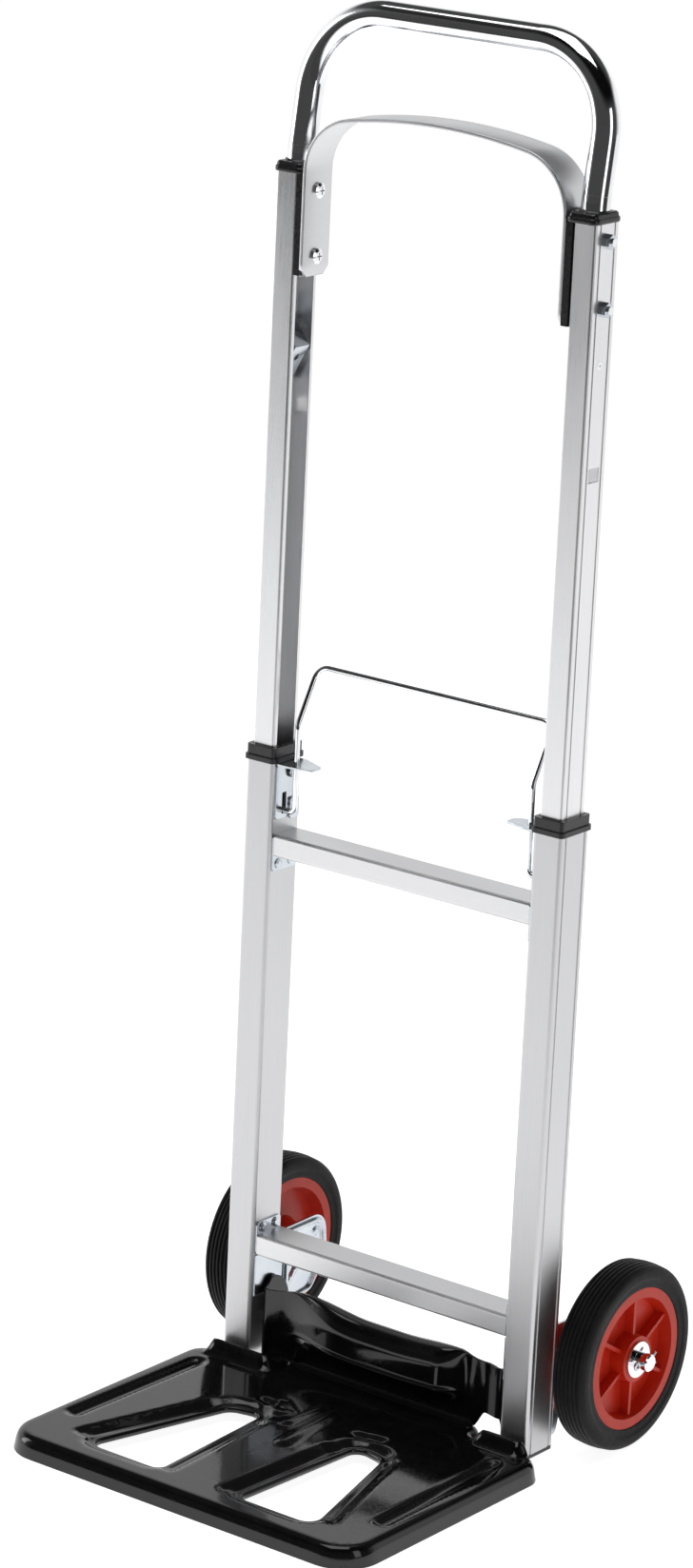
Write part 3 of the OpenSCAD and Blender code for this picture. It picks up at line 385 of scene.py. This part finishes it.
def deck_height(x, y):
    """Height of the pressed sheet's top at a point of the deck."""
    ax = abs(x)
    z = DECK_Z
    near = distance_to_ring(hole_ring, (ax, y))
    z -= 4.2 * (1 - smooth(2.5, 12.5, near))
    for path, half, depth in DENTS:
        if path[0][0] == 0:
            d = distance_to_path(path, (x, y))
        else:
            d = distance_to_path(path, (ax, y))
        z -= depth * (1 - smooth(0.25 * half, half, d))
    z += 1.6 * (1 - smooth(2.0, 6.0, distance_to_path(RIDGE, (x, y))))
    # a small raised rectangle behind the left opening
    u = Vector((x + 39, y + 68))
    u = Matrix.Rotation(math.radians(32), 2) @ u
    edge = max(abs(u.x) - 7.5, abs(u.y) - 6)
    z += 1.5 * (1 - smooth(-1.0, 1.6, edge)) - 1.2 * (1 - smooth(1.0, 2.4, abs(edge - 5.5)))
    # the sheet dips where the panel's foot begins and rises to the stops before the rails
    inner = 93 if x < 0 else 111
    z += 10.4 * smooth(inner - 6, inner + 6, ax) * (1 - smooth(150.5, 156.5, ax)) * smooth(-21, -10, y)
    return z


def build_deck():
    """The deck with its pressed dents, its rolled outer edge and the turned-down lips of its openings."""
    points, edges = [], []

    def ring_points(ring, closed_constraint):
        first = len(points)
        points.extend((p.x, p.y) for p in ring)
        if closed_constraint:
            n = len(ring)
            edges.extend((first + i, first + (i + 1) % n) for i in range(n))

    ring_points(deck_ring, True)
    holes = []
    for side in (RIGHT, LEFT):
        ring = [Vector((side * p.x, p.y)) for p in hole_ring]
        if side == LEFT:
            ring.reverse()
        holes.append(ring)
        ring_points(ring, True)
        for by in (1.5, 3, 4.5, 6, 8, 10, 12.5):
            ring_points(shifted(ring, by), False)
    step = 3.0
    nx = int(PLATE_X / step)
    for j in range(int((12 - PLATE_FRONT) / step) + 1):
        for i in range(-nx, nx + 1):
            x = i * step + (step / 2 if j % 2 else 0)
            y = PLATE_FRONT + j * step
            if distance_to_ring(deck_ring, (x, y)) > -1.5:
                continue
            if distance_to_ring(hole_ring, (abs(x), y)) < 14:
                continue
            points.append((x, y))
    flat = [p if isinstance(p, Vector) else Vector(p) for p in points]
    verts, _, faces, _, _, _ = delaunay_2d_cdt(flat, edges, [], 0, 0.01)
    keep = []
    for f in faces:
        cx = sum(verts[i].x for i in f) / len(f)
        cy = sum(verts[i].y for i in f) / len(f)
        if distance_to_ring(deck_ring, (cx, cy)) > 0 or distance_to_ring(hole_ring, (abs(cx), cy)) < 0:
            continue
        keep.append(tuple(f))
    pts = [(v.x, v.y, deck_height(v.x, v.y)) for v in verts]
    out_faces = list(keep)

    def strip(ring, profile, outward):
        """A band that runs round a ring: profile is (distance outwards, height above or below the deck)."""
        base = len(pts)
        n = len(ring)
        normals = ring_normals(ring)
        for d, z in profile:
            for p, nrm in zip(ring, normals):
                q = p + nrm * d * outward
                top = deck_height(p.x, p.y)
                if outward < 0:
                    h = top + z
                else:
                    h = z + (top - DECK_Z) * (1 - smooth(7.8, 8.8, d))
                pts.append((q.x, q.y, h))
        for k in range(len(profile) - 1):
            for i in range(n):
                a, b = base + k * n + i, base + k * n + (i + 1) % n
                c, d2 = b + n, a + n
                out_faces.append((a, b, c, d2) if outward < 0 else (a, d2, c, b))

    strip(deck_ring, [(0, 16), (1.8, 15.75), (3.5, 15.0), (4.9, 13.9), (6.0, 12.4), (6.9, 10.4), (7.6, 7.8),
                      (8.2, 4.5), (8.7, 1.8), (9.0, 0.5), (9.0, 0.0)], 1)
    for ring in holes:
        strip(ring, [(0, 0), (0.7, -0.25), (1.2, -0.9), (1.45, -1.8), (1.5, -4.2)], -1)
    return pts, out_faces


SHEET = 2.0
make_piece("toe_plate_sheet", *build_deck(), PAINT, "toe_plate", "black_paint", ["toe_plate"], thick=SHEET)


def build_panel():
    """The back panel: bulged in the middle, turned back into a cheek at each end."""
    cheek_x, flat_y, bend = 120.2, 9.3, 4.5
    reach = 43.5
    legs = [64.0, 22.0, cheek_x - bend - 86.0, bend * math.pi / 2, reach - flat_y - bend]
    columns = [leg / n for leg, n in zip(legs, (24, 16, 16, 6, 16)) for _ in range(n)]
    pts, grid = [], {}

    def plan(s, side):
        """(x, y of the flat line, share of the bulge's depth) at a length s from the middle."""
        x = min(s, 86.0)
        share = 1 - (smooth(60, 86, x) if side == RIGHT else smooth(34, 98, min(s, 98.0)))
        if s <= 86:
            return x, flat_y, share
        s -= 86
        if s <= legs[2]:
            hollow = 3.0 * math.sin(math.pi * s / legs[2]) ** 2 if side == RIGHT else 0.0
            return 86 + s, flat_y + hollow, share
        s -= legs[2]
        if s <= legs[3]:
            a = s / bend
            return cheek_x - bend + bend * math.sin(a), flat_y + bend * (1 - math.cos(a)), 0
        return cheek_x, flat_y + bend + s - legs[3], 0

    def limits(x, y, side):
        """Lower and upper edge of the sheet."""
        if side == RIGHT:
            top = 73.4 + 2.8 * smooth(20, 72, x) - 5.6 * smooth(76, 99, x)
        else:
            top = 73.4 + 5.3 * smooth(12, 68, x) - 6.2 * smooth(76, 116, x)
        low = 16.2
        if side == RIGHT:
            low += 12.8 * smooth(92, 101, x) - 12.8 * smooth(117, 119.6, x)
        else:
            low -= 8.0 * smooth(92, 95, x) * (1 - smooth(112, 116, x))
        if y > flat_y + bend:
            k = (y - flat_y - bend) / (reach - flat_y - bend)
            top += 6.5 * smooth(0, 0.25, k)
            top = 50 + (top - 50) * math.sqrt(max(0.0, 1 - max(0.0, (k - 0.35) / 0.65) ** 2))
            low = 50 + (low - 50) * math.sqrt(max(0.0, 1 - max(0.0, (k - 0.2) / 0.8) ** 2))
        return low, top

    lengths = [0.0]
    for c in columns:
        lengths.append(lengths[-1] + c)
    places = [(LEFT, s) for s in reversed(lengths[1:])] + [(RIGHT, s) for s in lengths]
    # (share of the way up to the lip, share of the bulge's depth), then the bulge above its lip
    foot_rows = [(0, 0), (0.03, 0), (0.08, 0), (0.16, 0), (0.3, 0), (0.48, 0.02), (0.6, 0.10), (0.72, 0.32),
                 (0.84, 0.66), (0.92, 0.92), (0.96, 1.03), (1.0, 1.08), (1.03, 1.07), (1.07, 1.0)]
    bulge_rows = [0.2, 0.4, 0.6, 0.8, 1.0]
    roll = [k / 9 for k in range(1, 10)]
    for i, (side, s) in enumerate(places):
        x, y, share = plan(s, side)
        low, top = limits(x, y, side)
        depth = 13.0 * share
        knee = min(17.0, top - low - 6)
        lip = low + (41.0 - 16.2) / (73.4 - 16.2) * (top - low)
        column = []
        for k, part in foot_rows:
            z = low + (lip - low) * k
            foot = 3.2 * math.exp(-(z - low) / 1.8) * (1 - smooth(88, 94, x))
            column.append((y - depth * part - foot, z))
        start = low + (lip - low) * foot_rows[-1][0]
        for k in bulge_rows:
            column.append((y - depth, start + (top - knee - start) * k))
        for k in roll:
            a = k * math.pi / 2
            column.append((y - depth * math.cos(a), top - knee + knee * math.sin(a)))
        column.append((y + 2.2 * (1 - smooth(110, 114, x)), top))
        for j, (py, pz) in enumerate(column):
            grid[i, j] = len(pts)
            pts.append((side * x, py, pz))
    rows = len(foot_rows) + len(bulge_rows) + len(roll) + 1
    faces = [(grid[i, j], grid[i + 1, j], grid[i + 1, j + 1], grid[i, j + 1])
             for i in range(len(places) - 1) for j in range(rows - 1)]
    return pts, faces


make_piece("toe_plate_panel", *build_panel(), PAINT, "toe_plate", "black_paint", ["toe_plate"], thick=SHEET)


# ---- bow strip, caps and wheel arms ----

CHANNEL_TOP = 968.0
STRIP_DROP, STRIP_RISE = 78, 54
RAIL_Y = 18.0


def loft(rings, close_ends=False):
    """Faces between rings of equally many points."""
    n = len(rings[0])
    verts = [v for ring in rings for v in ring]
    faces = []
    for k in range(len(rings) - 1):
        for i in range(n):
            j = (i + 1) % n
            faces.append((k * n + i, k * n + j, (k + 1) * n + j, (k + 1) * n + i))
    if close_ends:
        faces.append(tuple(range(n))[::-1])
        faces.append(tuple((len(rings) - 1) * n + i for i in range(n)))
    return verts, faces


def bow_path():
    """Points (x, z) on the strip's outer face, each with its outward direction (x, z)."""
    out_x, corner, slope = 121.0, 46.0, math.radians(10)
    low_z, top_z = CHANNEL_TOP - STRIP_DROP, CHANNEL_TOP + STRIP_RISE
    crown = (out_x - corner + corner * math.sin(slope)) / math.sin(slope)
    corner_z = top_z - crown * (1 - math.cos(slope)) - corner * math.cos(slope)
    half = [(out_x, low_z + t, 0.0) for t in (0, 1.5, 3, 4.5, 6, 10, 20, 40, 60)]
    for i in range(29):
        a = (math.pi / 2 - slope) * i / 28
        half.append((out_x - corner + corner * math.cos(a), corner_z + corner * math.sin(a), a))
    for i in range(1, 21):
        a = slope * (1 - i / 20)
        half.append((crown * math.sin(a), top_z - crown + crown * math.cos(a), math.pi / 2 - a))
    mirrored = [(-x, z, math.pi - a) for x, z, a in reversed(half[:-1])]
    return half + mirrored


def build_strip():
    """A flat bar with rounded edges, swept along the bow."""
    half_width, thick, round_r, low_z = 16.5, 3.0, 0.7, CHANNEL_TOP - STRIP_DROP
    rings = []
    for x, z, a in bow_path():
        w = half_width - max(0.0, 6 - (z - low_z))
        ring = []
        for cx, cv, start in ((w - round_r, -round_r, 0), (-w + round_r, -round_r, 90),
                              (-w + round_r, round_r - thick, 180), (w - round_r, round_r - thick, 270)):
            for k in range(4):
                b = math.radians(start + 30 * k)
                y, v = cx + round_r * math.cos(b), cv + round_r * math.sin(b)
                ring.append((x + v * math.cos(a), RAIL_Y + y, z + v * math.sin(a)))
        rings.append(ring)
    return loft(rings, close_ends=True)


make_piece("bow_strip_bent", *build_strip(), STRIP, "upper_frame", "aluminium", ["bow_strip"])


def build_cap(side):
    """A moulded cap: a rounded brim and a low collar round the tube."""
    hole_x, hole_r = 135.5, 11.1
    corners = [(x, y, 5.5) for x, y in ((121.0, -0.2), (148.6, -0.2), (148.6, 34.6), (121.0, 34.6))]
    outline = anticlockwise(resample(rounded(corners), 2.5))
    centre = Vector((hole_x, RAIL_Y))
    hole = [centre + (q - centre).normalized() * hole_r for q in outline]
    rings = []

    def add(ring, z):
        rings.append([(side * q.x, q.y, z) for q in ring])

    def blend_to_hole(share, extra):
        return [a.lerp(b + (b - centre).normalized() * extra, share) for a, b in zip(outline, hole)]

    add(hole, CHANNEL_TOP)
    for by, z in ((-1.6, 0), (-0.9, 0.05), (-0.3, 0.4), (0.0, 1.1), (0.0, 3.4), (-0.25, 4.0), (-0.9, 4.4),
                  (-1.1, 5.0), (-1.2, 6.0), (-1.7, 7.1), (-2.6, 7.8), (-3.4, 8.0)):
        add(shifted(outline, by), CHANNEL_TOP + z)
    for share, extra, z in ((0.75, 0.0, 8.0), (1.0, 1.1, 8.0), (1.0, 0.8, 8.9), (1.0, 0.3, 9.2),
                            (1.0, 0.0, 9.0), (1.0, 0.0, 6.0)):
        add(blend_to_hole(share, extra), CHANNEL_TOP + z)
    verts, faces = loft(rings)
    if side == LEFT:
        faces = [f[::-1] for f in faces]
    return verts, faces


for side in (LEFT, RIGHT):
    make_piece(f"cap_moulded_{SIDE_NAME[side]}", *build_cap(side), PLASTIC, "upper_frame", "black_plastic",
               [f"cap_{SIDE_NAME[side]}"])


FRAME_HALF, WHEEL_ROOM = 150.0, 7.0
AXLE_Y, AXLE_Z = 91.0, 75.0
TYRE_HALF, TYRE_R, RIM_R = 15.0, 75.0, 57.02


def tyre_profile():
    """(radius, distance across from the tyre's middle): side walls, round shoulders and a grooved tread."""
    half = TYRE_HALF
    flat = half * 0.62  # half width of the grooved tread
    grooves = [-0.62, -0.37, -0.12, 0.12, 0.37, 0.62]

    def crown(x):
        x = max(-flat, min(flat, x))
        return TYRE_R - 0.9 * (abs(x) / flat) ** 2.2

    tread = []
    for g in grooves:
        x = g * half
        for dx, drop in ((-1.0, 0.0), (-0.75, 0.3), (-0.55, 1.5), (0.55, 1.5), (0.75, 0.3), (1.0, 0.0)):
            tread.append((crown(x + dx) - drop, x + dx))
        tread.append((crown(x + 1.9), x + 1.9))
    tread.pop()
    shoulder = []
    x0, r0 = tread[-1][1], tread[-1][0]
    for k in range(1, 9):
        a = k / 8 * math.pi / 2
        shoulder.append((r0 - 6.0 * (1 - math.cos(a)), x0 + (half - x0) * math.sin(a)))
    wall = [(66.0, half - 0.05), (64.5, half + 0.0), (63.8, half - 0.5), (60.5, half - 0.8), (58.2, half - 0.8),
            (57.4, half - 1.1), (RIM_R, half - 1.8)]
    right = shoulder + wall
    left = [(r, -x) for r, x in reversed(right)]
    return left + tread + right


def build_tyre(side):
    """The tyre's profile turned round its axle."""
    middle = side * (FRAME_HALF + WHEEL_ROOM + TYRE_HALF)
    profile, rings = tyre_profile(), []
    for k in range(120):
        a = 2 * math.pi * k / 120
        rings.append([(middle + x, AXLE_Y + r * math.cos(a), AXLE_Z + r * math.sin(a)) for r, x in profile])
    verts, faces = loft(rings)
    n, last = len(rings[0]), len(rings) - 1
    faces += [(last * n + i, last * n + (i + 1) % n, (i + 1) % n, i) for i in range(n)]
    return verts, faces


for side in (LEFT, RIGHT):
    make_piece(f"tyre_ribbed_{SIDE_NAME[side]}", *build_tyre(side), TYRE, f"wheel_{SIDE_NAME[side]}", "tyre",
               [f"tyre_{SIDE_NAME[side]}"])


def build_arm_relief(side):
    """The pressed rim and crossing ridges on the inner face of a wheel arm, as (Y, Z) sheets."""
    inner_x = 139.0
    outline = [(44, 13.5, 2), (50, 13.5, 4), (57, 36, 12), (97, 40.5, 14), (116.5, 69, 20), (112.5, 103, 15),
               (63, 102.5, 8), (44, 103, 2)]
    ring = anticlockwise(resample(rounded(outline), 2.5))
    ridges = [[(66, 96), (104, 52)], [(62, 50), (104, 94)]]
    points = [tuple(q) for q in ring]
    edges = [(i, (i + 1) % len(ring)) for i in range(len(ring))]
    for by in (-1.2, -2.4, -3.6, -4.8, -6.0, -7.5):
        points += [tuple(q) for q in shifted(ring, by) if distance_to_ring(ring, q) < by * 0.9]
    for j in range(36):
        for i in range(30):
            q = (44 + i * 2.5 + (1.25 if j % 2 else 0), 13 + j * 2.5)
            if distance_to_ring(ring, q) < -8.5:
                points.append(q)
    verts, _, faces, _, _, _ = delaunay_2d_cdt([Vector(q) for q in points], edges, [], 0, 0.01)
    out = []
    for v in verts:
        d = -distance_to_ring(ring, v)
        rim = 3.2 * smooth(0.2, 1.6, d) * (1 - smooth(3.2, 6.5, d))
        ridge = max(2.6 * (1 - smooth(1.0, 4.5, distance_to_path(r, v))) for r in ridges)
        hub = smooth(13, 17, math.hypot(v.x - AXLE_Y, v.y - AXLE_Z))
        out.append((side * (inner_x + 0.4 - hub * (rim + ridge * smooth(5, 12, d))), v.x, v.y))
    keep = []
    for f in faces:
        centre = sum((verts[i] for i in f), Vector((0, 0))) / len(f)
        if distance_to_ring(ring, centre) < 0 and math.hypot(centre.x - AXLE_Y, centre.y - AXLE_Z) > 12:
            keep.append(tuple(f) if side == LEFT else tuple(f)[::-1])
    return out, keep


for side in (LEFT, RIGHT):
    make_piece(f"wheel_arm_relief_{SIDE_NAME[side]}", *build_arm_relief(side), ZINC, f"arm_{SIDE_NAME[side]}",
               "zinc", thick=0.6)


# ---- stage ----

AZIMUTH, ELEVATION, TILT = (math.radians(a) for a in (36.97, 16.18, 2.67))
TARGET = Vector((-0.05212, 0.0415, 0.5073))
DISTANCE = 4.0641


def place_camera():
    back = Vector((
        math.sin(AZIMUTH) * math.cos(ELEVATION),
        -math.cos(AZIMUTH) * math.cos(ELEVATION),
        math.sin(ELEVATION),
    ))
    right = Vector((math.cos(AZIMUTH), math.sin(AZIMUTH), 0))
    up = back.cross(right)
    across = right * math.cos(TILT) + up * math.sin(TILT)
    upward = up * math.cos(TILT) - right * math.sin(TILT)
    cam = bpy.data.objects.new("camera", bpy.data.cameras.new("camera"))
    scene.collection.objects.link(cam)
    cam.data.sensor_width = 36
    cam.data.lens = 121.876
    cam.matrix_world = Matrix((
        (across.x, upward.x, back.x, 0), (across.y, upward.y, back.y, 0),
        (across.z, upward.z, back.z, 0), (0, 0, 0, 1),
    ))
    cam.location = TARGET + back * DISTANCE
    scene.camera = cam


place_camera()


def area_light(name, place, aim, size, power):
    data = bpy.data.lights.new(name, "AREA")
    data.shape = "RECTANGLE"
    data.size, data.size_y = size
    data.energy = power
    lamp = bpy.data.objects.new(name, data)
    scene.collection.objects.link(lamp)
    lamp.location = place
    lamp.rotation_mode = "QUATERNION"
    lamp.rotation_quaternion = (Vector(aim) - Vector(place)).to_track_quat("-Z", "Y")


area_light("light_top", (-0.3, -0.3, 3.4), (0, 0, 0.3), (2.2, 2.2), 34)
area_light("light_left", (-3.3, -1.4, 1.5), (0, 0, 0.5), (1.2, 2.4), 30)
area_light("light_right", (2.9, -0.6, 1.3), (0, 0, 0.5), (0.9, 2.2), 10)


DIM = 0.06  # strength of the room's dark parts


def studio_world():
    """White for the camera. Metal and paint see a white wall behind the truck and a dim room in front."""
    world = bpy.data.worlds.new("studio")
    w = Tree(world)
    coord = w.add("TexCoord").outputs["Generated"]
    split = w.add("SeparateXYZ")
    w.link(coord, split.inputs[0])
    wall = w.soft_step(w.along_view(coord), DIM, 1.0, -0.25, 0.35)
    low = w.soft_step(split.outputs[2], 1.0, DIM, 0.36, 0.62)
    room = w.add("Background", Color=(1, 1, 1, 1))
    w.link(w.combine("MULTIPLY", wall, low), room.inputs["Strength"])
    white = w.add("Background", Color=(1, 1, 1, 1), Strength=1.0)
    seen = w.add("LightPath").outputs["Is Camera Ray"]
    out = w.add("OutputWorld")
    w.link(w.mix_shaders(seen, room.outputs[0], white.outputs[0]), out.inputs[0])
    scene.world = world


studio_world()


def floor():
    """A plain white floor that takes a soft shadow."""
    mesh = bpy.data.meshes.new("floor")
    half = 14
    corners = [(-half, -half, 0), (half, -half, 0), (half, half, 0), (-half, half, 0)]
    mesh.from_pydata(corners, [], [(0, 1, 2, 3)])
    obj = bpy.data.objects.new("floor", mesh)
    scene.collection.objects.link(obj)
    m = Nodes("floor_white")
    m.base(Base_Color=(0.75, 0.75, 0.75, 1), Roughness=0.9)
    m.bsdf.inputs["Specular IOR Level"].default_value = 0.0
    m.bsdf.inputs["Emission Color"].default_value = (1, 1, 1, 1)
    path = m.add("LightPath")
    glossy = path.outputs["Is Glossy Ray"]
    glow = m.add("Mix", data_type="FLOAT")
    glow.inputs["A"].default_value = 0.5
    glow.inputs["B"].default_value = 0.9
    m.link(m.combine("MAXIMUM", path.outputs["Is Camera Ray"], glossy), glow.inputs["Factor"])
    m.link(glow.outputs[0], m.bsdf.inputs["Emission Strength"])
    # shiny parts see the white floor end in front of the truck, with the dark room beyond it
    place = m.add("TexCoord").outputs["Object"]
    along = m.along_view(place)
    far = m.add("VectorMath", operation="LENGTH")
    m.link(place, far.inputs[0])
    room = m.soft_step(along, 1.0, 0.0, -2.1, -1.3)
    beyond = m.soft_step(far.outputs["Value"], 0.0, 1.0, 3.55, 3.95)
    before = m.soft_step(along, 1.0, 0.0, -0.9, 0.3)
    unlit = m.combine("MAXIMUM", room, m.combine("MULTIPLY", beyond, before))
    dark = m.add("Emission", Strength=0.05)
    share = m.combine("MULTIPLY", unlit, glossy)
    m.link(m.mix_shaders(share, m.bsdf.outputs[0], dark.outputs[0]), m.out.inputs[0])
    wear(obj, m.mat)


floor()
